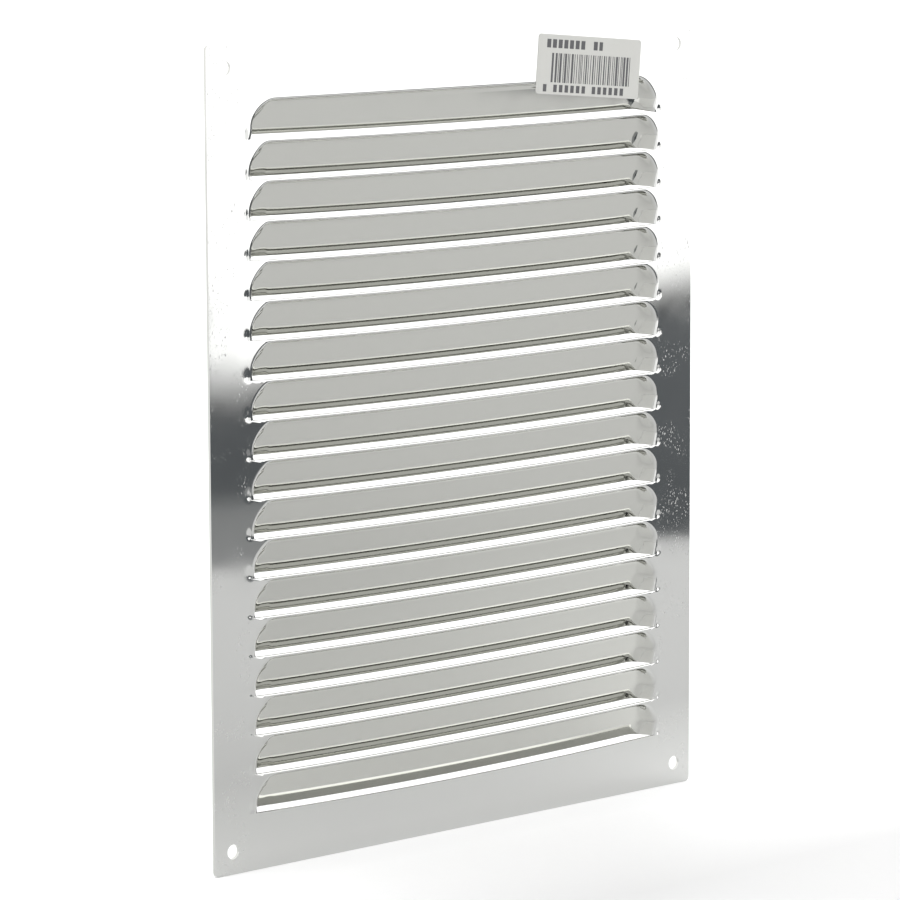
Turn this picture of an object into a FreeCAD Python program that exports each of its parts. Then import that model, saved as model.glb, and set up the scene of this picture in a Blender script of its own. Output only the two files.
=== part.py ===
"""Ventilation grille: one pressed aluminium plate with eighteen louvres, and its paper label.

Lengths are millimetres. +Z is up, +X is to the right and the front faces -Y. The origin is at the
middle of the plate, on the face that lies against the wall, so the front face is at
-sheet_thickness and the louvres reach back into the wall opening, towards +Y.
"""
import FreeCAD, Part
import math
import os

import Sketcher
from FreeCAD import Placement, Rotation, Vector

# Driving sizes
SIZES = {
    "plate_width": 200.0,
    "plate_height": 250.0,
    "sheet_thickness": 1.0,
    "plate_corner": 1.5,
    # louvre field: as many rows as the margins leave room for
    "louvre_pitch": 12.0,
    "side_margin": 15.7,
    "bottom_margin": 17.5,
    "top_margin": 16.5,
    # one louvre on the front face: a slit below that sags at mid-length, round corners above
    "louvre_corner": 10.0,
    "slit_bow": 1.0,
    "rim_land": 0.15,
    # section of a louvre: depths run from the front face to the blade's front surface
    "blade_depth": 5.4,
    "blade_gap": 0.9,
    "blade_angle": 14.5,
    "shoulder_angle": 20.0,
    "knee_radius": 5.0,
    "end_angle": 13.0,
    "end_radius": 5.0,
    # screw holes, inset from the plate's edges
    "hole_diameter": 4.5,
    "hole_inset": 7.0,
    # label, turned clockwise by its tilt, with its middle measured from the plate's edges
    "label_width": 44.6,
    "label_height": 18.8,
    "label_thickness": 0.1,
    "label_corner": 1.0,
    "label_tilt": 5.0,
    "label_from_side": 45.6,
    "label_from_top": 12.7,
}

document = FreeCAD.newDocument("ventilation_grille")
sheet = document.addObject("Spreadsheet::Sheet", "sizes")
for row, (alias, size) in enumerate(SIZES.items(), start=1):
    sheet.set(f"A{row}", alias)
    sheet.set(f"B{row}", str(size))
    sheet.setAlias(f"B{row}", alias)
document.recompute()

# Lengths that several sketches share, each as the expression that follows the sheet
LOWEST_SLIT = "(sizes.bottom_margin - sizes.plate_height / 2)"
LOUVRE_COUNT = (
    "floor((sizes.plate_height - sizes.bottom_margin - sizes.top_margin)"
    " / sizes.louvre_pitch + 0.01)"
)
FIELD_TOP = f"({LOWEST_SLIT} + {LOUVRE_COUNT} * sizes.louvre_pitch)"
HALF_LENGTH = "(sizes.plate_width / 2 - sizes.side_margin)"
BOW_RADIUS = (
    f"(({HALF_LENGTH} * {HALF_LENGTH} + sizes.slit_bow * sizes.slit_bow)"
    " / (2 * sizes.slit_bow))"
)
# The shoulder starts this high above the slit, so its back surface ends a land below the next slit
SHOULDER_START = (
    "(sizes.louvre_pitch - sizes.rim_land - sizes.sheet_thickness"
    " * (1 / cos(sizes.shoulder_angle) - tan(sizes.shoulder_angle)))"
)
# The pressed form runs on below the slit by this much before it is trimmed
OVERRUN = "(sizes.louvre_pitch / 4)"

# The same lengths as numbers, from which the sketches start
thickness = SIZES["sheet_thickness"]
pitch = SIZES["louvre_pitch"]
gap = SIZES["blade_gap"]
bow = SIZES["slit_bow"]
overrun = pitch / 4
half_width = SIZES["plate_width"] / 2
half_length = half_width - SIZES["side_margin"]
bow_radius = (half_length ** 2 + bow ** 2) / (2 * bow)
blade_slope = math.tan(math.radians(SIZES["blade_angle"]))
blade_cosine = math.cos(math.radians(SIZES["blade_angle"]))
shoulder_slope = math.tan(math.radians(SIZES["shoulder_angle"]))
shoulder_cosine = math.cos(math.radians(SIZES["shoulder_angle"]))
end_slope = math.tan(math.radians(SIZES["end_angle"]))
end_cosine = math.cos(math.radians(SIZES["end_angle"]))
shoulder_start = (
    pitch - SIZES["rim_land"] - thickness * (1 / shoulder_cosine - shoulder_slope)
)


def new_body(name, label):
    """An empty body with a readable label."""
    body = document.addObject("PartDesign::Body", name)
    body.Label = label
    return body


def new_sketch(body, name, role, offset=("0", "0", "0"), turn_axis=(0, 0, 1), turn="0"):
    """A sketch on one of the body's base planes, moved across, up and out, then turned by degrees."""
    sketch = body.newObject("Sketcher::SketchObject", name)
    plane = next(feature for feature in body.Origin.OriginFeatures if feature.Role == role)
    sketch.AttachmentSupport = (plane, [""])
    sketch.MapMode = "FlatFace"
    sketch.AttachmentOffset = Placement(Vector(0, 0, 0), Rotation(Vector(*turn_axis), 1))
    for direction, expression in zip("xyz", offset):
        sketch.setExpression(f"AttachmentOffset.Base.{direction}", expression)
    sketch.setExpression("AttachmentOffset.Rotation.Angle", turn)
    return sketch


def dimension(sketch, constraint, expression):
    """A driving constraint whose value follows the sheet."""
    index = sketch.addConstraint(constraint)
    sketch.setExpression(f"Constraints[{index}]", expression)


def measure(sketch, kind, item, end, start, expression):
    """Holds a point at a distance from the sketch's origin, on the side where it starts."""
    if start == 0:
        axis = -2 if kind == "DistanceX" else -1
        sketch.addConstraint(Sketcher.Constraint("PointOnObject", item, end, axis))
    elif start > 0:
        dimension(sketch, Sketcher.Constraint(kind, -1, 1, item, end, start), expression)
    else:
        dimension(sketch, Sketcher.Constraint(kind, item, end, -1, 1, -start), expression)


def end_at(sketch, item, spot):
    """Which end of the item lies at the spot: 1 for its start, 2 for its end."""
    distances = [sketch.getPoint(item, end).distanceToPoint(spot) for end in (1, 2)]
    return 1 + distances.index(min(distances))


def draw_outline(sketch, corners, roundings=None, arcs=None):
    """A closed outline through the corners.

    A corner is (across, expression, up, expression), each distance as the number it starts from and
    the expression for its size. roundings maps a corner to its (radius, expression), and arcs maps the
    side that starts at a corner to its (radius, expression, point on the arc).
    """
    roundings = roundings or {}
    arcs = arcs or {}
    spots = [Vector(corner[0], corner[2], 0) for corner in corners]
    starts = list(spots)
    ends = spots[1:] + spots[:1]
    middles = {}
    for number, (radius, _) in roundings.items():
        spot = spots[number]
        back = (spots[number - 1] - spot).normalize()
        ahead = (spots[(number + 1) % len(spots)] - spot).normalize()
        half = back.getAngle(ahead) / 2
        ends[number - 1] = spot + back * (radius / math.tan(half))
        starts[number] = spot + ahead * (radius / math.tan(half))
        middles[number] = spot + (back + ahead).normalize() * (radius / math.sin(half) - radius)
    items = []
    sides = []
    for number in range(len(spots)):
        if number in roundings:
            before = ends[number - 1]
            curve = Part.Arc(before, middles[number], starts[number])
            item = sketch.addGeometry(curve, False)
            dimension(sketch, Sketcher.Constraint("Radius", item, roundings[number][0]),
                      roundings[number][1])
            items.append((item, before, starts[number], True))
        if number in arcs:
            curve = Part.Arc(starts[number], arcs[number][2], ends[number])
        else:
            curve = Part.LineSegment(starts[number], ends[number])
        item = sketch.addGeometry(curve, False)
        items.append((item, starts[number], ends[number], False))
        sides.append(item)
    for this, following in zip(items, items[1:] + items[:1]):
        kind = "Tangent" if this[3] or following[3] else "Coincident"
        this_end = end_at(sketch, this[0], this[2])
        following_end = end_at(sketch, following[0], following[1])
        sketch.addConstraint(
            Sketcher.Constraint(kind, this[0], this_end, following[0], following_end)
        )
    for number, corner in enumerate(corners):
        item = sides[number]
        end = end_at(sketch, item, starts[number])
        if number in roundings:
            item = sketch.addGeometry(Part.Point(spots[number]), True)
            end = 1
            sketch.addConstraint(Sketcher.Constraint("PointOnObject", item, 1, sides[number - 1]))
            sketch.addConstraint(Sketcher.Constraint("PointOnObject", item, 1, sides[number]))
        measure(sketch, "DistanceX", item, end, corner[0], corner[1])
        measure(sketch, "DistanceY", item, end, corner[2], corner[3])
    for number, (radius, expression, _) in arcs.items():
        dimension(sketch, Sketcher.Constraint("Radius", sides[number], radius), expression)


def draw_box(sketch, half_across, across, low, low_expression, high, high_expression):
    """A rectangle across the sketch's vertical axis, from one height to another."""
    draw_outline(sketch, [
        (-half_across, across, low, low_expression),
        (half_across, across, low, low_expression),
        (half_across, across, high, high_expression),
        (-half_across, across, high, high_expression),
    ])


def new_pocket(body, name, sketch, length, side="Symmetric"):
    """A pocket through the sketch's region, to both sides of it unless told otherwise."""
    pocket = body.newObject("PartDesign::Pocket", name)
    pocket.Profile = sketch
    pocket.SideType = side
    pocket.setExpression("Length", length)
    sketch.Visibility = False
    return pocket


def new_pad(body, name, sketch, length):
    """A pad of the sketch's region, out along the sketch's normal."""
    pad = body.newObject("PartDesign::Pad", name)
    pad.Profile = sketch
    pad.setExpression("Length", length)
    sketch.Visibility = False
    return pad


def press_form(body, prefix, growth, growth_expression, ahead, ahead_expression):
    """The space that one louvre's front surface bounds, or with growth its back surface.

    The section sweeps along an arc with the slit's sag, then both ends and both upper corners are cut.
    Ahead is how far the form stands out of the front face.
    """
    top = shoulder_start + growth / shoulder_cosine
    top_expression = f"({SHOULDER_START} + {growth_expression} / cos(sizes.shoulder_angle))"
    depth = SIZES["blade_depth"] + growth / blade_cosine
    depth_expression = f"(sizes.blade_depth + {growth_expression} / cos(sizes.blade_angle))"
    knee_across = (depth - (top - gap) * blade_slope) / (1 - shoulder_slope * blade_slope)
    knee_expression = (
        f"(({depth_expression} - ({top_expression} - sizes.blade_gap) * tan(sizes.blade_angle))"
        " / (1 - tan(sizes.shoulder_angle) * tan(sizes.blade_angle)))"
    )
    section = new_sketch(
        body, f"{prefix}_section", "YZ_Plane",
        ("-sizes.sheet_thickness", f"{LOWEST_SLIT} - sizes.slit_bow", "0"),
    )
    draw_outline(
        section,
        [
            (-ahead, ahead_expression, top + ahead * shoulder_slope,
             f"{top_expression} + {ahead_expression} * tan(sizes.shoulder_angle)"),
            (knee_across, knee_expression, top - knee_across * shoulder_slope,
             f"{top_expression} - {knee_expression} * tan(sizes.shoulder_angle)"),
            (depth + (gap + overrun) * blade_slope,
             f"{depth_expression} + (sizes.blade_gap + {OVERRUN}) * tan(sizes.blade_angle)",
             -overrun, OVERRUN),
            (-ahead, ahead_expression, -overrun, OVERRUN),
        ],
        roundings={
            1: (SIZES["knee_radius"] + growth, f"sizes.knee_radius + {growth_expression}"),
        },
    )
    axis = section.addGeometry(
        Part.LineSegment(Vector(0, bow_radius, 0), Vector(10, bow_radius, 0)), True
    )
    section.addConstraint(Sketcher.Constraint("PointOnObject", axis, 1, -2))
    section.addConstraint(Sketcher.Constraint("Horizontal", axis))
    dimension(section, Sketcher.Constraint("DistanceX", axis, 1, axis, 2, 10), "sizes.louvre_pitch")
    dimension(section, Sketcher.Constraint("DistanceY", -1, 1, axis, 1, bow_radius), BOW_RADIUS)
    sweep = body.newObject("PartDesign::Revolution", f"{prefix}_sweep")
    sweep.Profile = section
    sweep.ReferenceAxis = (section, ["Axis0"])
    sweep.Midplane = True
    sweep.setExpression("Angle", f"2 * asin(({HALF_LENGTH} + sizes.louvre_pitch) / {BOW_RADIUS})")
    section.Visibility = False

    reach = half_length + growth / end_cosine
    reach_expression = f"({HALF_LENGTH} + {growth_expression} / cos(sizes.end_angle))"
    # the plan's back lies just clear of the blade's edge
    back = SIZES["blade_depth"] + thickness / 4 + growth
    back_expression = f"(sizes.blade_depth + sizes.sheet_thickness / 4 + {growth_expression})"
    front = 2 * thickness
    front_expression = "(2 * sizes.sheet_thickness)"
    plan = new_sketch(
        body, f"{prefix}_plan", "XY_Plane", ("0", "-sizes.sheet_thickness", LOWEST_SLIT)
    )
    front_reach = reach + front * end_slope
    front_reach_expression = f"{reach_expression} + {front_expression} * tan(sizes.end_angle)"
    back_reach = reach - back * end_slope
    back_reach_expression = f"{reach_expression} - {back_expression} * tan(sizes.end_angle)"
    end_rounding = (SIZES["end_radius"] + growth, f"sizes.end_radius + {growth_expression}")
    draw_outline(
        plan,
        [
            (-front_reach, front_reach_expression, -front, front_expression),
            (front_reach, front_reach_expression, -front, front_expression),
            (back_reach, back_reach_expression, back, back_expression),
            (-back_reach, back_reach_expression, back, back_expression),
        ],
        roundings={2: end_rounding, 3: end_rounding},
    )
    draw_box(
        plan, half_length + 2 * pitch, f"{HALF_LENGTH} + 2 * sizes.louvre_pitch",
        -2 * front, f"2 * {front_expression}", back + pitch, f"{back_expression} + sizes.louvre_pitch",
    )
    new_pocket(body, f"{prefix}_ends", plan, "4 * sizes.louvre_pitch")

    corner = SIZES["louvre_corner"]
    side = half_length + growth
    side_expression = f"({HALF_LENGTH} + {growth_expression})"
    crown = shoulder_start + growth
    crown_expression = f"({SHOULDER_START} + {growth_expression})"
    outline = new_sketch(body, f"{prefix}_outline", "XZ_Plane", ("0", LOWEST_SLIT, "0"))
    reach_out = half_length + 2 * pitch
    reach_out_expression = f"{HALF_LENGTH} + 2 * sizes.louvre_pitch"
    arc_start = side - corner - growth
    arc_start_expression = f"{side_expression} - sizes.louvre_corner - {growth_expression}"
    arc_low = crown - corner - growth
    arc_low_expression = f"{crown_expression} - sizes.louvre_corner - {growth_expression}"
    diagonal = (corner + growth) * math.sqrt(0.5)
    for way in (1, -1):
        draw_outline(
            outline,
            [
                (way * side, side_expression, arc_low, arc_low_expression),
                (way * arc_start, arc_start_expression, crown, crown_expression),
                (way * arc_start, arc_start_expression, 2 * pitch, "2 * sizes.louvre_pitch"),
                (way * reach_out, reach_out_expression, 2 * pitch, "2 * sizes.louvre_pitch"),
                (way * reach_out, reach_out_expression, arc_low, arc_low_expression),
            ],
            arcs={
                0: (
                    corner + growth, f"sizes.louvre_corner + {growth_expression}",
                    Vector(way * (arc_start + diagonal), arc_low + diagonal, 0),
                ),
            },
        )
    new_pocket(body, f"{prefix}_corners", outline, "8 * sizes.louvre_pitch")


# Hollow in front of one louvre, which is taken out of the plate
hollow = new_body("louvre_hollow", "Louvre hollow")
press_form(hollow, "hollow", 0.0, "0", thickness, "sizes.sheet_thickness")

# Plate, begun with one louvre at the lowest slit
plate = new_body("louvre_plate", "Louvre plate")
press_form(plate, "press", thickness, "sizes.sheet_thickness", 0.0, "0")

# The pressed metal ends at the slit: a sagging edge that rises from the front to the blade
slit_arc = (bow_radius, BOW_RADIUS, Vector(0, -bow, 0))
trim = new_sketch(
    plate, "blade_edge_outline", "XZ_Plane", ("0", LOWEST_SLIT, "sizes.sheet_thickness"),
    (1, 0, 0), "atan(sizes.blade_gap / sizes.blade_depth)",
)
draw_outline(
    trim,
    [
        (-half_length, HALF_LENGTH, 0, "0"),
        (half_length, HALF_LENGTH, 0, "0"),
        (half_length + pitch, f"{HALF_LENGTH} + sizes.louvre_pitch", 0, "0"),
        (half_length + pitch, f"{HALF_LENGTH} + sizes.louvre_pitch", -2 * pitch,
         "2 * sizes.louvre_pitch"),
        (-half_length - pitch, f"{HALF_LENGTH} + sizes.louvre_pitch", -2 * pitch,
         "2 * sizes.louvre_pitch"),
        (-half_length - pitch, f"{HALF_LENGTH} + sizes.louvre_pitch", 0, "0"),
    ],
    arcs={0: slit_arc},
)
new_pocket(plate, "blade_edge", trim, "4 * sizes.louvre_pitch")

# Flat sheet of one pitch, opened by the hollow and cut by the slit above
strip = new_sketch(plate, "strip_outline", "XZ_Plane", ("0", LOWEST_SLIT, "0"))
draw_box(strip, half_width, "sizes.plate_width / 2", 0, "0", pitch, "sizes.louvre_pitch")
new_pad(plate, "strip", strip, "sizes.sheet_thickness")
opened = plate.newObject("PartDesign::Boolean", "louvre_opened")
opened.setObjects([hollow])
opened.Type = "Cut"
slit = new_sketch(
    plate, "slit_outline", "XZ_Plane", ("0", f"{LOWEST_SLIT} + sizes.louvre_pitch", "0")
)
draw_outline(
    slit,
    [
        (-half_length, HALF_LENGTH, 0, "0"),
        (half_length, HALF_LENGTH, 0, "0"),
        (half_length, HALF_LENGTH, pitch / 4, "sizes.louvre_pitch / 4"),
        (-half_length, HALF_LENGTH, pitch / 4, "sizes.louvre_pitch / 4"),
    ],
    arcs={0: slit_arc},
)
new_pocket(plate, "slit", slit, "2 * sizes.sheet_thickness")

# Row of louvres, which needs the first one's finished shape
document.recompute()
row = plate.newObject("PartDesign::LinearPattern", "louvre_row")
row.TransformMode = "Whole shape"
row.Direction = (strip, ["V_Axis"])
row.Mode = "Spacing"
row.setExpression("Offset", "sizes.louvre_pitch")
row.setExpression("Occurrences", LOUVRE_COUNT)
plate.Tip = row

# Margins below and above the louvres, with the plate's round corners and the slit's sagging edge
corner_rounding = (SIZES["plate_corner"], "sizes.plate_corner")
field_room = SIZES["plate_height"] - SIZES["bottom_margin"] - SIZES["top_margin"]
louvre_count = math.floor(field_room / pitch + 0.01)
top_margin = SIZES["plate_height"] - SIZES["bottom_margin"] - louvre_count * pitch
for name, origin, height, height_expression, way in (
    ("bottom_margin", LOWEST_SLIT, SIZES["bottom_margin"], "sizes.bottom_margin", -1),
    ("top_margin", FIELD_TOP, top_margin, f"sizes.plate_height / 2 - {FIELD_TOP}", 1),
):
    margin = new_sketch(plate, f"{name}_outline", "XZ_Plane", ("0", origin, "0"))
    draw_outline(
        margin,
        [
            (-half_length, HALF_LENGTH, 0, "0"),
            (half_length, HALF_LENGTH, 0, "0"),
            (half_width, "sizes.plate_width / 2", 0, "0"),
            (half_width, "sizes.plate_width / 2", way * height, height_expression),
            (-half_width, "sizes.plate_width / 2", way * height, height_expression),
            (-half_width, "sizes.plate_width / 2", 0, "0"),
        ],
        roundings={3: corner_rounding, 4: corner_rounding},
        arcs={0: slit_arc},
    )
    new_pad(plate, name, margin, "sizes.sheet_thickness")

# Screw holes near the four corners
holes = new_sketch(plate, "screw_hole_circles", "XZ_Plane")
for across in (-1, 1):
    for up in (-1, 1):
        middle = Vector(
            across * (half_width - SIZES["hole_inset"]),
            up * (SIZES["plate_height"] / 2 - SIZES["hole_inset"]),
            0,
        )
        circle = holes.addGeometry(
            Part.Circle(middle, Vector(0, 0, 1), SIZES["hole_diameter"] / 2), False
        )
        measure(holes, "DistanceX", circle, 3, middle.x, "sizes.plate_width / 2 - sizes.hole_inset")
        measure(holes, "DistanceY", circle, 3, middle.y, "sizes.plate_height / 2 - sizes.hole_inset")
        dimension(holes, Sketcher.Constraint("Diameter", circle, SIZES["hole_diameter"]),
                  "sizes.hole_diameter")
screw_holes = new_pocket(plate, "screw_holes", holes, "4 * sizes.sheet_thickness")
plate.Tip = screw_holes

# Paper label stuck on the front face, over the top louvre
label = new_body("label", "Paper label")
label_outline = new_sketch(
    label, "label_outline", "XZ_Plane",
    (
        "sizes.plate_width / 2 - sizes.label_from_side",
        "sizes.plate_height / 2 - sizes.label_from_top",
        "sizes.sheet_thickness",
    ),
    (0, 0, 1), "-sizes.label_tilt",
)
half_label = SIZES["label_width"] / 2
half_label_height = SIZES["label_height"] / 2
label_rounding = (SIZES["label_corner"], "sizes.label_corner")
draw_outline(
    label_outline,
    [
        (across * half_label, "sizes.label_width / 2", up * half_label_height,
         "sizes.label_height / 2")
        for across, up in ((-1, -1), (1, -1), (1, 1), (-1, 1))
    ],
    roundings={number: label_rounding for number in range(4)},
)
new_pad(label, "label_sheet", label_outline, "sizes.label_thickness")

document.recompute()

# Every feature recomputes, every sub-part is one valid solid, and each is written as a STEP file
failed = [
    item.Name for item in document.Objects
    if "Invalid" in item.State or "Error" in item.State or "Touched" in item.State
]
if failed:
    raise RuntimeError(f"these features do not recompute: {failed}")
os.makedirs("parts", exist_ok=True)
for node in (plate, label):
    if node.Shape.isNull() or not node.Shape.isValid() or len(node.Shape.Solids) != 1:
        raise RuntimeError(f"{node.Name} is not one valid solid")
    node.Shape.exportStep(f"parts/{node.Name}.step")
    box = node.Shape.optimalBoundingBox()
    print(node.Name, round(node.Shape.Volume, 1), box)
print("ok")
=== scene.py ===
import math
import random

import bmesh
import bpy
import numpy as np
from mathutils import Matrix, Vector
from mathutils.geometry import delaunay_2d_cdt


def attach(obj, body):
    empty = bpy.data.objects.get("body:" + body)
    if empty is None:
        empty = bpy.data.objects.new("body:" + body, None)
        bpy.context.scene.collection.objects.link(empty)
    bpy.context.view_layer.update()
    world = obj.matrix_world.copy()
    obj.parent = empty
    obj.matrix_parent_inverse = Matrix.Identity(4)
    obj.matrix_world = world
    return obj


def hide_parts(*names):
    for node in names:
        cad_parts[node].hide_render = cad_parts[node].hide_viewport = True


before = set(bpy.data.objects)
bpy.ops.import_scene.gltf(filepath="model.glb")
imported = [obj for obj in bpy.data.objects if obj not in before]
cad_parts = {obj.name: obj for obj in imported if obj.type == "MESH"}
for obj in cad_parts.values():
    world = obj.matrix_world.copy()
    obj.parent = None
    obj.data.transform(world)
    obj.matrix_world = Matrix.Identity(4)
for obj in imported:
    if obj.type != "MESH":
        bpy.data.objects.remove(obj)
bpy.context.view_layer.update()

random.seed(7)

# Sizes in millimetres, with the origin at the middle of the plate's back face.
# x points to the right, y into the wall and z up.
MM = 0.001
WIDTH = 200.0
HEIGHT = 250.0
THICKNESS = 1.0
FRONT = -1.0
BACK = 0.0
CORNER = 1.6
CORNER_STEPS = 8
PITCH = 12.0
COUNT = 18
FIRST_SLIT = 96.5
LAST_SLIT = FIRST_SLIT - PITCH * (COUNT - 1)
SLIT_HALF = 84.6
CELL_HALF = 88.0
FIRST_TOP = 13.5
HOLE_RADIUS = 2.25
HOLE_STEPS = 40
HOLE_X = 93.0
HOLE_Z = 118.0

# The blade: its depth at the free edge, the deepest it may reach, and its slope.
BLADE_DEPTH = 5.2
DEEPEST = 5.38
BLADE_SLOPE = math.tan(math.radians(14.5))

# The wall between the plate and the blade. It leans least along the top of a louvre.
WALL_LEAN = 38.0
LEAN_LOST_ON_TOP = 33.0
LEAN_GAINED_LOW = 3.0
ROLL_RADIUS = 1.8
ROLL_LOST_ON_TOP = 1.2
ROLL_GAINED_LOW = 0.6
ROLL_GAINED_LOW_LEFT = 1.2
KNEE_RADIUS = 7.0
KNEE_LOST_ON_TOP = 5.8
SMALLEST_KNEE = 0.3
# The left side takes this share of what the top loses.
LEFT_SHARE = 0.55
LEFT_KNEE_SHARE = 0.83
# Up to these heights over the slit the wall is softer, on the left with a slower change.
SOFT_UP_TO = 4.0
LEFT_SOFT_UP_TO = 8.0
LEFT_SOFT_CHANGE = 5.0

# The sheared lower edge of a strip: its rounding, and how much thinner the strip is along it,
# above a height over its slit and up to an x near the slit ends.
EDGE_ROUND = 0.4
EDGE_DIP = 0.3
EDGE_THINNED = 0.15
EDGE_THIN_FROM_H = 11
EDGE_THIN_TO_X = 82.5
EDGE_THIN_CHANGE = 3

# The pressed sheet is this much thinner than the flat one, and thinner still inside the rolled edge.
DRAWN_THINNER = 0.04
ROLL_THICKNESS_SHARE = 0.97
ROLL_THIN_CHANGE = 0.8

# The press form's slope is measured over this step, and depths below this one count as flat.
SLOPE_STEP = 0.02
FLAT_DEPTH = 1e-4

# The louvres differ a little: in depth, and in depth between one end and the other.
DEPTH_SPREAD = 0.06
TWIST_SPREAD = 0.05
TWIST_REACH = 84.0

# How far each slit sags in the middle, from the top one down. The sag ends at SAG_END.
SAG_END = 84.3
SAGS = [0.75, 0.65] + [1.04] * 15 + [1.4]
# How far the free edge of each blade stands above its slit, and how fast it rises to that at the ends.
GAPS = [1.15, 0.6] + [0.68] * 14 + [0.5, 0.6]
GAP_RISE = 7.0

# Outline of a pressed louvre, as x and height over its slit, from a slit end up to the straight top.
RIM_START = 11.6
RIGHT_SIDE = [(84.6, 0.0), (84.75, 0.9), (84.9, 1.9), (85.1, 3.0), (85.3, 4.2), (85.25, 5.5),
              (84.8, 7.0), (83.7, 8.7), (82.2, 10.1), (80.6, 11.0), (79.0, 11.45), (77.4, 11.58),
              (76.0, RIM_START)]
LEFT_SIDE = [(84.6, 0.0), (84.75, 0.8), (84.75, 1.8), (84.5, 3.5), (83.9, 5.2), (82.8, 7.0),
             (81.4, 8.7), (79.9, 10.1), (78.6, 10.95), (77.3, 11.4), (76.2, 11.55), (74.8, 11.59),
             (73.5, RIM_START)]
FIRST_RIGHT = [(84.6, 0.0), (84.2, 1.0), (84.1, 1.9), (84.4, 2.9), (84.7, 4.3), (84.4, 5.7),
               (83.6, 7.3), (82.2, 9.0), (80.5, 10.4), (78.6, 11.4), (76.6, 11.95), (74.8, 12.08),
               (73.0, 12.1)]
FIRST_LEFT = [(84.6, 0.0), (84.2, 1.2), (83.9, 2.7), (83.7, 4.4), (83.2, 6.0), (82.3, 7.5),
              (81.0, 9.0), (79.3, 10.4), (77.0, 11.5), (75.4, 11.95), (74.2, 12.07), (73.1, 12.1),
              (72.0, 12.1)]

# The mesh of a louvre: columns across the outline, and rows outside and inside it in millimetres.
# Each column starts square to the outline, for the length of its pull.
SIDE_COLUMNS = 26
TOP_COLUMNS = 38
CORNER_COLUMN = 14
OUTWARD = [0.25, 0.5, 0.75, 1.0, 1.3, 1.7, 2.3, 3.4]
INWARD = [0.2, 0.4, 0.6, 0.78, 0.93, 1.3, 1.8, 2.4, 3.1, 3.9, 4.8, 5.8]
BLADE_ROWS = 3
INWARD_SHARE = 0.75
PULL = 5.0
PULL_SHARE = 0.75
END_COLUMN = CORNER_COLUMN + len(OUTWARD)
STRIP_SHARES = [0.2, 0.4, 0.6, 0.8, 1.0]
EDGE_SHARES = [0.65, 0.3, 0.0]
NARROW_STRIP = 0.6
NARROW_SHARES = [0.2, 0.38, 0.54, 0.68, 0.8, 0.9, 0.97, 1.0]
FINE_STEPS = 240
CHUNK = 4000

LABEL_CENTRE = (54.4, 112.3)
LABEL_SIZE = (44.6, 18.8)
LABEL_CORNER = 1.0
LABEL_TILT = -5.0
LABEL_FACE = FRONT - 0.085
LABEL_CORNER_STEPS = 6
# The print, in the label's own x and height: a bar code between two rows of blocks. A row has a
# space between blocks and one between words, and a width of 0 stands for the end of a word.
INK_FRONT = FRONT - 0.098
INK_BACK = FRONT - 0.08
BAR_CODE_X = (-16.2, 18.2)
BAR_CODE_HEIGHTS = (-5.6, 3.6)
BAR_WIDTHS = (0.3, 0.3, 0.55, 0.85)
BAR_SPACES = (0.3, 0.45, 0.7)
UPPER_START = -18.6
UPPER_HEIGHTS = (5.2, 7.9)
UPPER_WIDTHS = [1.7] * 7 + [0] + [1.7, 1.5]
UPPER_SPACES = (0.75, 3.0)
LOWER_START = -19.3
LOWER_HEIGHTS = (-8.6, -6.3)
LOWER_WIDTHS = [1.5, 0] + [1.5] * 6 + [0] + [1.5] * 6
LOWER_SPACES = (0.95, 2.0)

# Vertices this close fall together, shorter edges vanish, and sharper bends keep a hard edge.
MERGE = 0.003
SHORTEST_EDGE = 0.002
SHARP = math.radians(38)

# The metal: its tone on the flat and on the pressed parts, where a darker, warmer tone is painted shade
# for their dimmer reflection and changes between two depths in metres, its roughness, and the specks that
# start a little beyond the slit ends.
FLAT_TONE = (0.505, 0.508, 0.497)
PRESSED_SHADED_TONE = (0.465, 0.467, 0.443)
PRESSED_SHADE_BETWEEN = (-0.0008, -0.0002)
ROUGHNESS_RANGE = (0.05, 0.08)
SPECK_ROUGHNESS = 0.35
SPECKS_BETWEEN = (0.0845, 0.086)
GRAIN_SHARE = 0.03
WAVE_DEPTH = 0.000004
PAPER_TONE = (0.47, 0.47, 0.448)
INK_TONE = (0.075, 0.075, 0.08)


def run_along(path):
    """Length along a path up to each of its points."""
    return np.concatenate([[0], np.cumsum(np.linalg.norm(np.diff(path, axis=0), axis=1))])


def curve_through(points, shares):
    """Points at the given shares of the length of a smooth curve through the given ones."""
    p = [np.array(q, float) for q in points]
    p = [2 * p[0] - p[1]] + p + [2 * p[-1] - p[-2]]
    fine = []
    for i in range(1, len(p) - 2):
        for t in np.linspace(0, 1, 40, endpoint=False):
            fine.append(0.5 * (2 * p[i] + (p[i + 1] - p[i - 1]) * t
                               + (2 * p[i - 1] - 5 * p[i] + 4 * p[i + 1] - p[i + 2]) * t * t
                               + (3 * p[i] - 3 * p[i + 1] + p[i + 2] - p[i - 1]) * t ** 3))
    fine.append(p[-2])
    fine = np.array(fine)
    run = run_along(fine)
    want = run[-1] * np.asarray(shares, float)
    return np.column_stack([np.interp(want, run, fine[:, 0]), np.interp(want, run, fine[:, 1])])


def outline(right, left, shares):
    """The whole louvre outline, from the right slit end over the top to the left slit end."""
    a = curve_through(right, shares)
    b = curve_through(left, shares)
    b[:, 0] *= -1
    middle = np.linspace(a[-1], b[-1], TOP_COLUMNS + 1)[1:-1]
    return np.vstack([a, middle, b[::-1]])


def side_shares():
    """Where the columns stand along a side of the outline, closer together at the slit end."""
    t = np.linspace(0, 1, SIDE_COLUMNS + 1)
    return 0.35 * t * t + 0.65 * t ** 1.15


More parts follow.
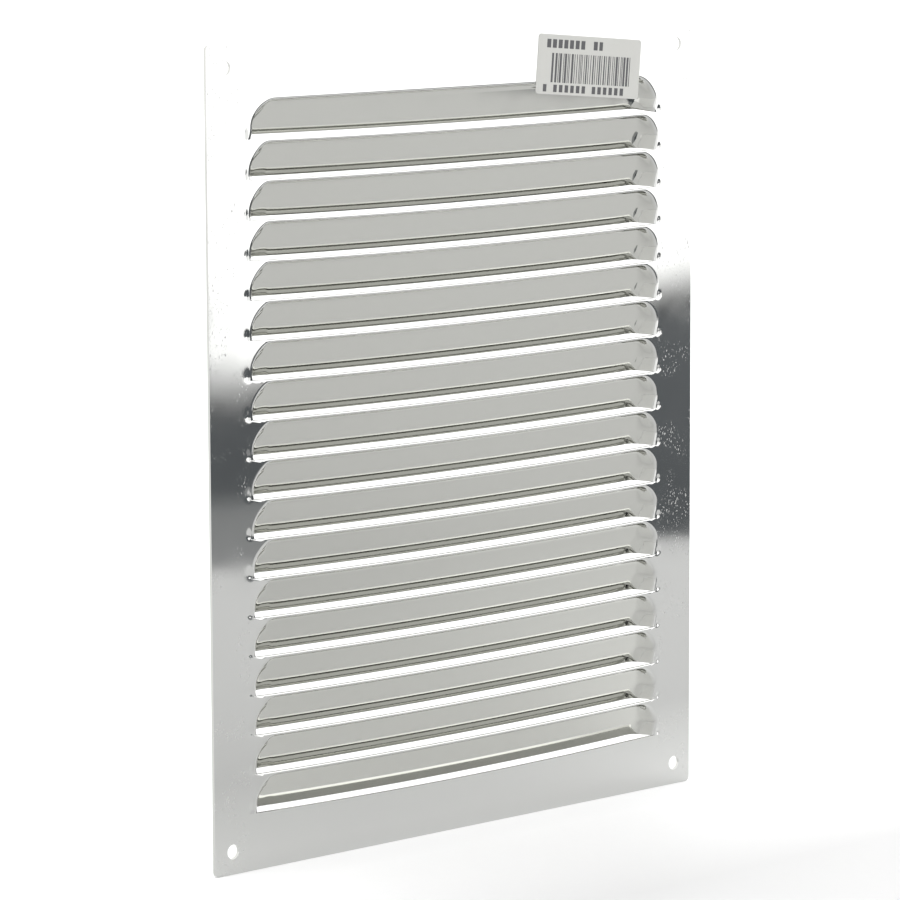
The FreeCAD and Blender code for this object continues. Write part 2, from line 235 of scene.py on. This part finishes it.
class Louvre:
    """One kind of louvre: its outline and the depth of the sheet's front at any point inside it."""

    def __init__(self, right, left, top):
        self.top = top
        self.points = outline(right, left, side_shares())
        self.fine = outline(right, left, np.linspace(0, 1, FINE_STEPS))
        ahead = np.roll(self.fine, -1, axis=0) - np.roll(self.fine, 1, axis=0)
        ahead[0] = (0, 1)
        ahead[-1] = (0, -1)
        ahead /= np.linalg.norm(ahead, axis=1)[:, None]
        self.inward = np.column_stack([-ahead[:, 1], ahead[:, 0]])

    def nearest(self, x, h):
        """How far inside the outline points lie, with their nearest outline point and its normal."""
        q = np.column_stack([x, h])
        near = np.zeros(len(q), int)
        for i in range(0, len(q), CHUNK):
            spans = np.linalg.norm(q[i:i + CHUNK, None, :] - self.fine[None, :, :], axis=2)
            near[i:i + CHUNK] = spans.argmin(axis=1)
        foot = self.fine[near]
        normal = self.inward[near]
        return ((q - foot) * normal).sum(axis=1), foot, normal

    @staticmethod
    def wall_form(foot, normal):
        """The wall's lean, and the radii of the bends at its upper and lower end."""
        soft = np.clip(1 - foot[:, 1] / SOFT_UP_TO, 0, 1) ** 2
        over = np.clip(-normal[:, 1], 0, 1)
        left = np.clip(normal[:, 0], 0, 1)
        low_left = left * np.clip((LEFT_SOFT_UP_TO - foot[:, 1]) / LEFT_SOFT_CHANGE, 0, 1)
        steep = np.maximum(over ** 8, LEFT_SHARE * left)
        lean = np.radians(WALL_LEAN - LEAN_LOST_ON_TOP * steep + LEAN_GAINED_LOW * soft)
        roll = (ROLL_RADIUS - ROLL_LOST_ON_TOP * np.maximum(over ** 6, LEFT_SHARE * left)
                + ROLL_GAINED_LOW * soft * (1 - left) + ROLL_GAINED_LOW_LEFT * low_left)
        knee = KNEE_RADIUS - KNEE_LOST_ON_TOP * np.maximum(over ** 8, LEFT_KNEE_SHARE * left)
        return lean, roll, knee

    def rolled_edge(self, x, h):
        """How far inside the outline points lie, the rolled edge's radius and how far in it reaches."""
        s, foot, normal = self.nearest(x, h)
        lean, roll, _ = self.wall_form(foot, normal)
        return s, roll, roll * np.sin(math.pi / 2 - lean)

    def depth(self, x, h, extra, gap):
        """Depth under the plate's front face at points x, h: rolled edge, wall, knee and blade."""
        s, foot, normal = self.nearest(x, h)
        lean, roll, knee = self.wall_form(foot, normal)
        wall = 1 / np.tan(lean)
        turn = math.pi / 2 - lean
        start = roll * np.tan(turn / 2)
        roll_end = roll * np.sin(turn)
        blade_here = BLADE_DEPTH + extra - BLADE_SLOPE * (foot[:, 1] - gap)
        fall = BLADE_SLOPE * -normal[:, 1]
        cross = (blade_here + wall * start) / (wall - fall)
        angle = np.arctan(wall) - np.arctan(fall)
        room = (cross - roll_end) / np.cos(np.arctan(wall)) / np.tan(angle / 2) * 0.999
        knee = np.maximum(np.minimum(knee, room), SMALLEST_KNEE)
        reach = knee * np.tan(angle / 2)
        wall_end = cross - reach * np.cos(np.arctan(wall))
        knee_end = cross + reach * np.cos(np.arctan(fall))
        centre_s = wall_end + knee * np.sin(np.arctan(wall))
        centre_d = wall * (wall_end - start) - knee * np.cos(np.arctan(wall))
        rolled = roll - np.sqrt(np.maximum(roll ** 2 - np.clip(s, 0, roll) ** 2, 0))
        flank = wall * (s - start)
        bend = centre_d + np.sqrt(np.maximum(knee ** 2 - (s - centre_s) ** 2, 0))
        blade = blade_here + fall * s
        beyond_wall = np.where(s < knee_end, bend, blade)
        d = np.where(s < roll_end, rolled, np.where(s < wall_end, flank, beyond_wall))
        return np.where(s <= 0, 0.0, np.minimum(d, DEEPEST))


def column_place(louvre, k):
    """A column's number counted from its own slit end, its side, and that side's end of the top."""
    last = len(louvre.points) - 1
    side = 1 if k <= last / 2 else -1
    top_end = abs(louvre.points[SIDE_COLUMNS if side > 0 else last - SIDE_COLUMNS][0])
    return min(k, last - k), side, top_end


def cell_edge(louvre):
    """Where each column meets the edge of the louvre's cell: up one side, along the top and down."""
    ring = []
    for k, (x, _) in enumerate(louvre.points):
        i, side, top_end = column_place(louvre, k)
        if i <= CORNER_COLUMN:
            ring.append((side * CELL_HALF, louvre.top * (i / CORNER_COLUMN)))
        elif i <= END_COLUMN:
            ring.append((side * (SLIT_HALF + ([0.0] + OUTWARD)[END_COLUMN - i]), louvre.top))
        elif i < SIDE_COLUMNS:
            t = (i - END_COLUMN) / (SIDE_COLUMNS - END_COLUMN)
            ring.append((side * (SLIT_HALF + (top_end - SLIT_HALF) * t), louvre.top))
        else:
            ring.append((x, louvre.top))
    return ring


def outward_shares(i, span):
    """Where the rows outside the outline stand, as shares of the way to the cell's edge."""
    if i < END_COLUMN:
        return [d / OUTWARD[-1] for d in OUTWARD]
    if span <= NARROW_STRIP:
        return NARROW_SHARES
    flat = 1 - EDGE_ROUND / span
    return [flat * t for t in STRIP_SHARES] + [1 - EDGE_ROUND * t / span for t in EDGE_SHARES]


def inward_path(louvre, foot, place, gap):
    """The curve that a column follows from the outline down to the blade's free edge."""
    i, side, top_end = place
    if i <= SIDE_COLUMNS:
        end_x = SLIT_HALF - (SLIT_HALF - top_end) * (i / SIDE_COLUMNS) ** 1.2
        goal = np.array((side * end_x, 0.0))
        inward = louvre.inward[np.linalg.norm(louvre.fine - foot, axis=1).argmin()]
        handle = foot + inward * min(PULL, PULL_SHARE * np.linalg.norm(goal - foot))
    else:
        goal = np.array((foot[0], 0.0))
        handle = (foot + goal) / 2
    rise = np.clip((SLIT_HALF - abs(goal[0])) / GAP_RISE, 0, 1)
    goal = goal + np.array((0.0, gap * rise * rise * (3 - 2 * rise)))
    t = np.linspace(0, 1, 60)[:, None]
    return (1 - t) ** 2 * foot + 2 * t * (1 - t) * handle + t * t * goal


def grid_points(louvre, gap):
    """Plan positions of a louvre's grid: one column for each outline point, rows going inwards."""
    columns = []
    for k, (foot, edge) in enumerate(zip(louvre.points, cell_edge(louvre))):
        place = column_place(louvre, k)
        edge = np.array(edge)
        shares = outward_shares(place[0], np.linalg.norm(edge - foot))
        column = [foot + (edge - foot) * t for t in reversed(shares)] + [foot]
        path = inward_path(louvre, foot, place, gap)
        run = run_along(path)
        shrink = min(1.0, INWARD_SHARE * run[-1] / INWARD[-1])
        stops = [d * shrink for d in INWARD]
        rest = run[-1] - stops[-1]
        stops += [stops[-1] + rest * j / BLADE_ROWS for j in range(1, BLADE_ROWS + 1)]
        for d in stops:
            column.append(np.array((np.interp(d, run, path[:, 0]), np.interp(d, run, path[:, 1]))))
        columns.append(column)
    return np.array(columns)


def sag_at(x):
    """Share of a slit's sag at x."""
    return np.clip(1 - (np.asarray(x) / SAG_END) ** 2, 0, 1)


def edge_dip(louvre, x, h):
    """The sheared edge over the next slit, slightly rounded."""
    under = np.clip(EDGE_ROUND - (louvre.top - h), 0, EDGE_ROUND)
    dip = EDGE_DIP * (1 - np.sqrt(1 - (under / EDGE_ROUND) ** 2))
    return dip * np.clip((SLIT_HALF - np.abs(x)) / 2.0, 0, 1)


def slit_end_swell(x, h):
    """The small dent at each end of a slit, taller on the left and deeper on the right."""
    left = x < 0
    middle_h = 0.95
    middle_x = np.where(left, 85.55, 85.5)
    wide = np.where(left, 1.35, 0.9)
    tall = np.where(h > middle_h, np.where(left, 3.0, 1.2), 0.92)
    deep = np.where(left, 0.1, 0.3)
    away = np.hypot((np.abs(x) - middle_x) / wide, (h - middle_h) / tall)
    return deep * np.clip(1 - away ** 2, 0, 1) ** 2


def sheet_corners(bm, x, y, z, rows):
    """One face of the sheet as columns of vertices."""
    verts = [bm.verts.new((a * MM, b * MM, c * MM)) for a, b, c in zip(x, y, z)]
    return [verts[i:i + rows] for i in range(0, len(verts), rows)]


def add_skin(bm, grid, turned):
    """Join the columns of one face of the sheet."""
    for one, two in zip(grid, grid[1:]):
        for j in range(len(one) - 1):
            quad = [one[j], two[j], two[j + 1], one[j + 1]]
            if turned:
                quad.reverse()
            bm.faces.new(quad)


def add_louvre(bm, louvre, n):
    """Louvre number n with its strip; returns its cell's edge and the lines beyond both slit ends."""
    columns = grid_points(louvre, GAPS[n])
    count, rows, _ = columns.shape
    x = columns[:, :, 0].ravel()
    h = columns[:, :, 1].ravel()
    extra = random.uniform(-DEPTH_SPREAD, DEPTH_SPREAD)
    twist = random.uniform(-TWIST_SPREAD, TWIST_SPREAD)

    def height_field(px, ph):
        d = louvre.depth(px, ph, extra, GAPS[n]) + slit_end_swell(px, ph)
        if n > 0:
            d = d + edge_dip(louvre, px, ph)
        return d + twist * (px / TWIST_REACH) * np.clip(d / BLADE_DEPTH, 0, 1)

    depth = height_field(x, h)
    step = SLOPE_STEP
    slope_x = (height_field(x + step, h) - height_field(x - step, h)) / (2 * step)
    slope_h = (height_field(x, h + step) - height_field(x, h - step)) / (2 * step)
    flat = depth < FLAT_DEPTH
    on_edge = h > louvre.top - EDGE_ROUND - 0.001
    slope_x[flat | on_edge] = 0
    slope_h[flat | on_edge] = 0
    length = np.sqrt(1 + slope_x ** 2 + slope_h ** 2)

    # The sheet's thickness, square to its face: thinned in the rolled edge and along the strip's edge.
    inside_by, roll, roll_end = louvre.rolled_edge(x, h)
    drawn = THICKNESS - DRAWN_THINNER
    thin = np.minimum(drawn, ROLL_THICKNESS_SHARE * roll)
    through = thin + (drawn - thin) * np.clip((inside_by - roll_end) / ROLL_THIN_CHANGE, 0, 1)
    along_edge = np.clip((EDGE_THIN_TO_X - np.abs(x)) / EDGE_THIN_CHANGE, 0, 1)
    rim = THICKNESS - EDGE_THINNED * along_edge * (h > EDGE_THIN_FROM_H) * (n > 0)
    through = np.where(flat | on_edge, rim, through)

    sag_high = SAGS[n - 1] if n else 0.0
    share = np.clip(h / louvre.top, 0, 1)
    z = FIRST_SLIT - PITCH * n + h - sag_at(x) * (SAGS[n] * (1 - share) + sag_high * share)
    y = FRONT + depth
    back_x = x - through * slope_x / length
    back_y = y + through / length
    back_y[on_edge] = FRONT + rim[on_edge]
    back_z = z - through * slope_h / length

    front = sheet_corners(bm, x, y, z, rows)
    back = sheet_corners(bm, back_x, back_y, back_z, rows)
    add_skin(bm, front, False)
    add_skin(bm, back, True)
    for k in range(count - 1):
        bm.faces.new([front[k][-1], front[k + 1][-1], back[k + 1][-1], back[k][-1]])
    if n > 0:
        for k in range(END_COLUMN, count - 1 - END_COLUMN):
            bm.faces.new([front[k + 1][0], front[k][0], back[k][0], back[k + 1][0]])

    z = z.reshape(count, rows)
    beyond = range(len(OUTWARD) + 1)
    ring = [(columns[k, 0, 0], z[k, 0]) for k in range(count)]
    right_end = [(columns[0, j, 0], z[0, j]) for j in beyond]
    left_end = [(columns[-1, j, 0], z[-1, j]) for j in beyond]
    return ring, right_end, left_end


def rounded_rectangle(width, height, radius, steps):
    loop = []
    for sx, sz, start in ((1, 1, 0), (-1, 1, 90), (-1, -1, 180), (1, -1, 270)):
        for i in range(steps + 1):
            a = math.radians(start + 90 * i / steps)
            loop.append((sx * (width / 2 - radius) + radius * math.cos(a),
                         sz * (height / 2 - radius) + radius * math.sin(a)))
    return loop


def hole_loop(cx, cz):
    turns = [2 * math.pi * i / HOLE_STEPS for i in range(HOLE_STEPS)]
    return [(cx + HOLE_RADIUS * math.cos(a), cz + HOLE_RADIUS * math.sin(a)) for a in turns]


def without_repeats(points):
    """A closed loop without points that fall together."""
    loop = []
    for p in points:
        if not loop or math.dist(p, loop[-1]) > 1e-4:
            loop.append((float(p[0]), float(p[1])))
    if math.dist(loop[0], loop[-1]) < 1e-4:
        loop.pop()
    return loop


def inside(loop, p):
    hit = False
    for i, a in enumerate(loop):
        b = loop[i - 1]
        if (a[1] > p[1]) != (b[1] > p[1]):
            if p[0] < (b[0] - a[0]) * (p[1] - a[1]) / (b[1] - a[1]) + a[0]:
                hit = not hit
    return hit


def add_wall(bm, loop, closed=True):
    """The cut edge of the flat sheet along a loop."""
    a = [bm.verts.new((p[0] * MM, FRONT * MM, p[1] * MM)) for p in loop]
    b = [bm.verts.new((p[0] * MM, BACK * MM, p[1] * MM)) for p in loop]
    for i in range(len(loop) if closed else len(loop) - 1):
        j = (i + 1) % len(loop)
        bm.faces.new([a[i], a[j], b[j], b[i]])


def add_margins(bm, rings):
    """The flat margins, triangulated between the plate's outline, the louvres and the holes."""
    top_ring = rings[0][0]
    inner = top_ring[CORNER_COLUMN:len(top_ring) - CORNER_COLUMN]
    for ring, _, _ in rings:
        inner += ring[len(ring) - CORNER_COLUMN:]
    ring, right_end, left_end = rings[-1]
    under_x = [p[0] for p in ring[END_COLUMN + 1:len(ring) - 1 - END_COLUMN]][::-1]
    slit_edge = [(x, LAST_SLIT - float(sag_at(x)) * SAGS[-1]) for x in under_x]
    inner += left_end[1:] + slit_edge + right_end[::-1][:-1]
    for ring, _, _ in reversed(rings):
        inner += ring[:CORNER_COLUMN]
    inner = without_repeats(inner)

    outer = rounded_rectangle(WIDTH, HEIGHT, CORNER, CORNER_STEPS)
    holes = [hole_loop(sx * HOLE_X, sz * HOLE_Z) for sx in (1, -1) for sz in (1, -1)]
    coords = []
    edges = []
    for loop in [outer, inner] + holes:
        base = len(coords)
        coords += [Vector(p) for p in loop]
        edges += [(base + i, base + (i + 1) % len(loop)) for i in range(len(loop))]
    found = delaunay_2d_cdt(coords, edges, [], 0, 1e-6)
    spots = found[0]
    keep = []
    for t in found[2]:
        c = [(spots[t[0]][i] + spots[t[1]][i] + spots[t[2]][i]) / 3 for i in range(2)]
        if inside(outer, c) and not any(inside(loop, c) for loop in [inner] + holes):
            keep.append(t)
    front = [bm.verts.new((p[0] * MM, FRONT * MM, p[1] * MM)) for p in spots]
    back = [bm.verts.new((p[0] * MM, BACK * MM, p[1] * MM)) for p in spots]
    for t in keep:
        bm.faces.new([front[i] for i in t])
        bm.faces.new([back[i] for i in reversed(t)])
    for loop in [outer] + holes:
        add_wall(bm, loop)
    add_wall(bm, [left_end[-1]] + slit_edge + [right_end[-1]], closed=False)


def in_margin(v):
    beside = abs(v.co.x) > (CELL_HALF + 0.01) * MM
    return beside or not (LAST_SLIT - 1.6) * MM < v.co.z < (FIRST_SLIT + FIRST_TOP + 0.01) * MM


def shade(bm):
    """Smooth shading, apart from the flat margins and the sharp cut edges."""
    for f in bm.faces:
        level = all(abs(v.co.y - f.verts[0].co.y) < 1e-9 for v in f.verts)
        f.smooth = not (level and any(in_margin(v) for v in f.verts))
    for e in bm.edges:
        if len(e.link_faces) == 2 and e.calc_face_angle(0) > SHARP:
            e.smooth = False


def piece_from(bm, name):
    """Make a piece of the scene from a finished bmesh."""
    mesh = bpy.data.meshes.new(name)
    bm.to_mesh(mesh)
    bm.free()
    piece = bpy.data.objects.new(name, mesh)
    bpy.context.scene.collection.objects.link(piece)
    return piece


def build_plate():
    """The whole pressed sheet as one mesh, front, back and every cut edge."""
    first = Louvre(FIRST_RIGHT, FIRST_LEFT, FIRST_TOP)
    other = Louvre(RIGHT_SIDE, LEFT_SIDE, PITCH)
    bm = bmesh.new()
    rings = [add_louvre(bm, other if n else first, n) for n in range(COUNT)]
    add_margins(bm, rings)
    bmesh.ops.remove_doubles(bm, verts=bm.verts, dist=MERGE * MM)
    bmesh.ops.dissolve_degenerate(bm, edges=bm.edges, dist=SHORTEST_EDGE * MM)
    bmesh.ops.recalc_face_normals(bm, faces=bm.faces)
    shade(bm)
    return piece_from(bm, "pressed_plate")


def add_block(bm, x0, x1, heights):
    """A block of printed ink on the label."""
    z0, z1 = heights
    size = (x1 - x0, INK_BACK - INK_FRONT, z1 - z0)
    middle = ((x0 + x1) / 2, (INK_FRONT + INK_BACK) / 2, (z0 + z1) / 2)
    made = bmesh.ops.create_cube(bm, size=1)
    for v in made["verts"]:
        v.co = Vector([middle[i] + v.co[i] * size[i] for i in range(3)])
    for f in {f for v in made["verts"] for f in v.link_faces}:
        f.material_index = 1


def add_row(bm, x, heights, widths, spaces):
    """A row of ink blocks from x on."""
    space, word_space = spaces
    for w in widths:
        if w:
            add_block(bm, x, x + w, heights)
            x += w + space
        else:
            x += word_space


def build_label():
    """The paper label with raised print: a bar code and rows of plain blocks."""
    bm = bmesh.new()
    loop = rounded_rectangle(*LABEL_SIZE, LABEL_CORNER, LABEL_CORNER_STEPS)
    front = [bm.verts.new((p[0], LABEL_FACE, p[1])) for p in loop]
    back = [bm.verts.new((p[0], FRONT, p[1])) for p in loop]
    bm.faces.new(front)
    bm.faces.new(list(reversed(back)))
    for i in range(len(loop)):
        j = (i + 1) % len(loop)
        bm.faces.new([front[i], back[i], back[j], front[j]])

    widths = random.Random(11)
    x, code_end = BAR_CODE_X
    while x < code_end:
        w = widths.choice(BAR_WIDTHS)
        add_block(bm, x, x + w, BAR_CODE_HEIGHTS)
        x += w + widths.choice(BAR_SPACES)
    add_row(bm, UPPER_START, UPPER_HEIGHTS, UPPER_WIDTHS, UPPER_SPACES)
    add_row(bm, LOWER_START, LOWER_HEIGHTS, LOWER_WIDTHS, LOWER_SPACES)

    bmesh.ops.recalc_face_normals(bm, faces=bm.faces)
    turn = Matrix.Rotation(math.radians(-LABEL_TILT), 4, "Y")
    place = Matrix.Translation(Vector((LABEL_CENTRE[0], 0, LABEL_CENTRE[1]))) @ turn
    bmesh.ops.transform(bm, matrix=place, verts=bm.verts)
    for v in bm.verts:
        v.co *= MM
    return piece_from(bm, "sticker")


def new_material(name, kind="ShaderNodeBsdfPrincipled"):
    material = bpy.data.materials.new(name)
    material.use_nodes = True
    nodes = material.node_tree.nodes
    nodes.clear()
    out = nodes.new("ShaderNodeOutputMaterial")
    shader = nodes.new(kind)
    material.node_tree.links.new(shader.outputs[0], out.inputs[0])
    return material, nodes, material.node_tree.links, shader


def mapped(nodes, links, scale=(1, 1, 1)):
    """The place on the object, stretched by a scale."""
    place = nodes.new("ShaderNodeTexCoord")
    mapping = nodes.new("ShaderNodeMapping")
    mapping.inputs["Scale"].default_value = scale
    links.new(place.outputs["Object"], mapping.inputs["Vector"])
    return mapping.outputs["Vector"]


def split_place(nodes, links, place):
    """The place's x, y and z, by name."""
    split = nodes.new("ShaderNodeSeparateXYZ")
    links.new(place, split.inputs[0])
    return split.outputs


def noise(nodes, links, vector, scale, detail):
    node = nodes.new("ShaderNodeTexNoise")
    node.inputs["Scale"].default_value = scale
    node.inputs["Detail"].default_value = detail
    links.new(vector, node.inputs["Vector"])
    return node.outputs[0]


def ramp(nodes, links, value, low, high, start, end):
    """Goes evenly from start to end while the value goes from low to high."""
    node = nodes.new("ShaderNodeMapRange")
    settings = {"From Min": low, "From Max": high, "To Min": start, "To Max": end}
    for key, number in settings.items():
        node.inputs[key].default_value = number
    links.new(value, node.inputs["Value"])
    return node.outputs[0]


def math_node(nodes, links, kind, a, b):
    node = nodes.new("ShaderNodeMath")
    node.operation = kind
    for i, v in enumerate((a, b)):
        if isinstance(v, (int, float)):
            node.inputs[i].default_value = v
        else:
            links.new(v, node.inputs[i])
    return node.outputs[0]


def colour_mix(nodes, links, factor, one, two):
    node = nodes.new("ShaderNodeMix")
    node.data_type = "RGBA"
    node.inputs["A"].default_value = (*one, 1)
    node.inputs["B"].default_value = (*two, 1)
    links.new(factor, node.inputs["Factor"])
    return node.outputs["Result"]


def metal():
    """Bright rolled sheet: its tone on the flat, a darker tone on the pressed parts as painted shade,
    fine specks beside the louvres, faint waves.
    """
    material, nodes, links, shader = new_material("aluminium_sheet")
    shader.inputs["Metallic"].default_value = 1.0
    plain = mapped(nodes, links)
    tall = mapped(nodes, links, (1, 1, 0.12))
    short = mapped(nodes, links, (1, 1, 0.45))
    place = split_place(nodes, links, plain)

    # Painted shade: the pressed louvres get a darker, warmer tone for the dimmer reflection inside their
    # recesses.
    pressed = ramp(nodes, links, place["Y"], *PRESSED_SHADE_BETWEEN, 0.0, 1.0)
    tone = colour_mix(nodes, links, pressed, FLAT_TONE, PRESSED_SHADED_TONE)
    links.new(tone, shader.inputs["Base Color"])

    film = noise(nodes, links, plain, 60, 4)
    rough = ramp(nodes, links, film, 0.35, 0.65, *ROUGHNESS_RANGE)
    specks = ramp(nodes, links, noise(nodes, links, short, 2300, 1), 0.64, 0.69, 0.0, 1.0)
    patches = ramp(nodes, links, noise(nodes, links, plain, 70, 1), 0.48, 0.6, 0.0, 1.0)
    sideways = math_node(nodes, links, "ABSOLUTE", place["X"], 0.0)
    beside = ramp(nodes, links, sideways, *SPECKS_BETWEEN, 0.0, 1.0)
    marks = math_node(nodes, links, "MULTIPLY", specks, patches)
    marks = math_node(nodes, links, "MULTIPLY", marks, beside)
    marks = math_node(nodes, links, "MULTIPLY", marks, SPECK_ROUGHNESS)
    links.new(math_node(nodes, links, "ADD", rough, marks), shader.inputs["Roughness"])

    waves = noise(nodes, links, plain, 25, 2)
    grain = math_node(nodes, links, "MULTIPLY", noise(nodes, links, tall, 900, 2), GRAIN_SHARE)
    bump = nodes.new("ShaderNodeBump")
    bump.inputs["Strength"].default_value = 1.0
    bump.inputs["Distance"].default_value = WAVE_DEPTH
    links.new(math_node(nodes, links, "ADD", waves, grain), bump.inputs["Height"])
    links.new(bump.outputs[0], shader.inputs["Normal"])
    return material


def plain_stuff(name, colour, roughness, speckle):
    """A dull material with a faint speckle."""
    material, nodes, links, shader = new_material(name)
    flecks = noise(nodes, links, mapped(nodes, links), 900, 3)
    darker = [c * (1 - speckle) for c in colour]
    links.new(colour_mix(nodes, links, flecks, darker, colour), shader.inputs["Base Color"])
    shader.inputs["Roughness"].default_value = roughness
    return material


plate = build_plate()
plate.data.materials.append(metal())
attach(plate, "root")
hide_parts("louvre_plate")

sticker = build_label()
sticker.data.materials.append(plain_stuff("sticker_paper", PAPER_TONE, 0.55, 0.05))
sticker.data.materials.append(plain_stuff("sticker_ink", INK_TONE, 0.5, 0.3))
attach(sticker, "root")
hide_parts("label")


# The stage, in metres: a pale floor with a slanting front edge, a dark surround beyond that edge,
# and cards and boards outside the view, which the sheet mirrors.
FLOOR_Z = -0.12505
UNDER_FLOOR = FLOOR_Z - 0.002
SURROUND_Z = FLOOR_Z - 0.004
CARD_LOW = FLOOR_Z - 0.01
CARD_HEIGHT = 2.0
UPPER_CARD_HEIGHTS = (0.8, 1.25)
BACKDROP_TOP = 1.6
BOARD_TOP = 0.02
SKY_STRENGTH = 1.65


def flat_piece(name, corners, material):
    mesh = bpy.data.meshes.new(name)
    mesh.from_pydata([Vector(c) for c in corners], [], [tuple(range(len(corners)))])
    mesh.materials.append(material)
    piece = bpy.data.objects.new(name, mesh)
    bpy.context.scene.collection.objects.link(piece)


def lying(points, z):
    """Corners of a sheet that lies flat at height z."""
    return [(*p, z) for p in points]


def upright(start, end, low, high):
    """Corners of a sheet that stands on the line from start to end, between two heights."""
    return [(*start, low), (*end, low), (*end, high), (*start, high)]


def pale_floor():
    """A pale floor with painted light: brightest next to the plate and darkening towards its front edge.
    """
    material, nodes, links, shader = new_material("pale_floor")
    place = mapped(nodes, links)
    towards_back = split_place(nodes, links, place)["Y"]
    # Painted light and shade: the floor's tone falls from next to the plate towards its front edge, and
    # the sheet mirrors it.
    tone = ramp(nodes, links, towards_back, -0.10, -0.02, 0.62, 0.88)
    flecks = ramp(nodes, links, noise(nodes, links, place, 700, 3), 0.3, 0.7, 0.99, 1.0)
    tone = math_node(nodes, links, "MULTIPLY", tone, flecks)
    links.new(tone, shader.inputs["Base Color"])
    shader.inputs["Roughness"].default_value = 0.6
    return material


def glow(name, strength, fade=None):
    """A white light; fade gives two heights and the strength at the lower one."""
    material, nodes, links, light = new_material(name, "ShaderNodeEmission")
    light.inputs["Color"].default_value = (1, 1, 1, 1)
    light.inputs["Strength"].default_value = strength
    if fade:
        low, high, weak = fade
        up = split_place(nodes, links, mapped(nodes, links))["Z"]
        links.new(ramp(nodes, links, up, low, high, weak, strength), light.inputs["Strength"])
    return material


edge_start = Vector((0.249, -0.425))
edge_end = Vector((0.437, -0.352))
along = (edge_end - edge_start).normalized()
floor_left = edge_start - along * 0.05
dark_left = edge_start - along * 1.2
far_right = edge_end + along * 2.4
floor_points = [floor_left, far_right, (4.5, 10.0), (-5.0, 10.0), (-5.0, -4.0), (0.4, -4.0), (0.33, -0.9)]
flat_piece("floor", lying(floor_points, FLOOR_Z), pale_floor())
flat_piece("surround", lying([(-1.2, -1.0), (3.0, -1.7), far_right, dark_left], SURROUND_Z),
           plain_stuff("dark_surround", (0.028, 0.035, 0.042), 0.9, 0.05))
flat_piece("card", upright((0.55, -0.825), (2.41, -1.51), CARD_LOW, CARD_LOW + CARD_HEIGHT),
           glow("bright_card", 2.5, (UNDER_FLOOR, FLOOR_Z + 0.026, 0.1)))
upper_low, upper_high = [CARD_LOW + height for height in UPPER_CARD_HEIGHTS]
flat_piece("upper_card", upright((0.53, -0.805), (2.39, -1.49), upper_low, upper_high),
           glow("brighter_card", 4.2))
strip_points = [(0.05, -0.50), (0.20, -0.62), (0.40, -0.56), (0.46, -0.343)]
flat_piece("grey_strip", lying(strip_points, UNDER_FLOOR),
           plain_stuff("grey_strip", (0.2, 0.205, 0.21), 0.9, 0.05))
flat_piece("backdrop", upright((-3.4, 0.2), (-0.7, -3.4), FLOOR_Z, BACKDROP_TOP),
           plain_stuff("pale_backdrop", (0.75, 0.75, 0.745), 0.9, 0.02))
flat_piece("dark_board", upright((0.62, -0.27), (0.62, 0.30), FLOOR_Z, BOARD_TOP),
           plain_stuff("dark_board", (0.06, 0.065, 0.07), 0.9, 0.05))

world = bpy.data.worlds.new("surroundings")
bpy.context.scene.world = world
world.use_nodes = True
background = world.node_tree.nodes["Background"]
background.inputs["Color"].default_value = (1, 1, 1, 1)
background.inputs["Strength"].default_value = SKY_STRENGTH

# The camera, worked out from the plate's four corners in the photo.
PICTURE_WIDTH = 900
SENSOR_WIDTH = 36
FOCAL_PIXELS = 4455.988
CAMERA_PLACE = (-0.9155112, -1.0267589, 0.1958688)
AZIMUTH = math.radians(-41.59659234)
ELEVATION = math.radians(8.30021673)
ROLL = math.radians(-0.22982623)
back_axis = Vector((math.sin(AZIMUTH) * math.cos(ELEVATION),
                    -math.cos(AZIMUTH) * math.cos(ELEVATION),
                    math.sin(ELEVATION)))
right_axis = (-back_axis).cross(Vector((0, 0, 1))).normalized()
up_axis = right_axis.cross(-back_axis)
right_rolled = right_axis * math.cos(ROLL) + up_axis * math.sin(ROLL)
up_rolled = up_axis * math.cos(ROLL) - right_axis * math.sin(ROLL)
camera_data = bpy.data.cameras.new("camera")
camera_data.sensor_width = SENSOR_WIDTH
camera_data.lens = FOCAL_PIXELS / PICTURE_WIDTH * SENSOR_WIDTH
camera_data.clip_start = 0.05
camera_data.clip_end = 50
camera = bpy.data.objects.new("camera", camera_data)
matrix = Matrix((right_rolled, up_rolled, back_axis)).transposed().to_4x4()
matrix.translation = Vector(CAMERA_PLACE)
camera.matrix_world = matrix
bpy.context.scene.collection.objects.link(camera)
bpy.context.scene.camera = camera
bpy.context.scene.view_settings.view_transform = "Standard"
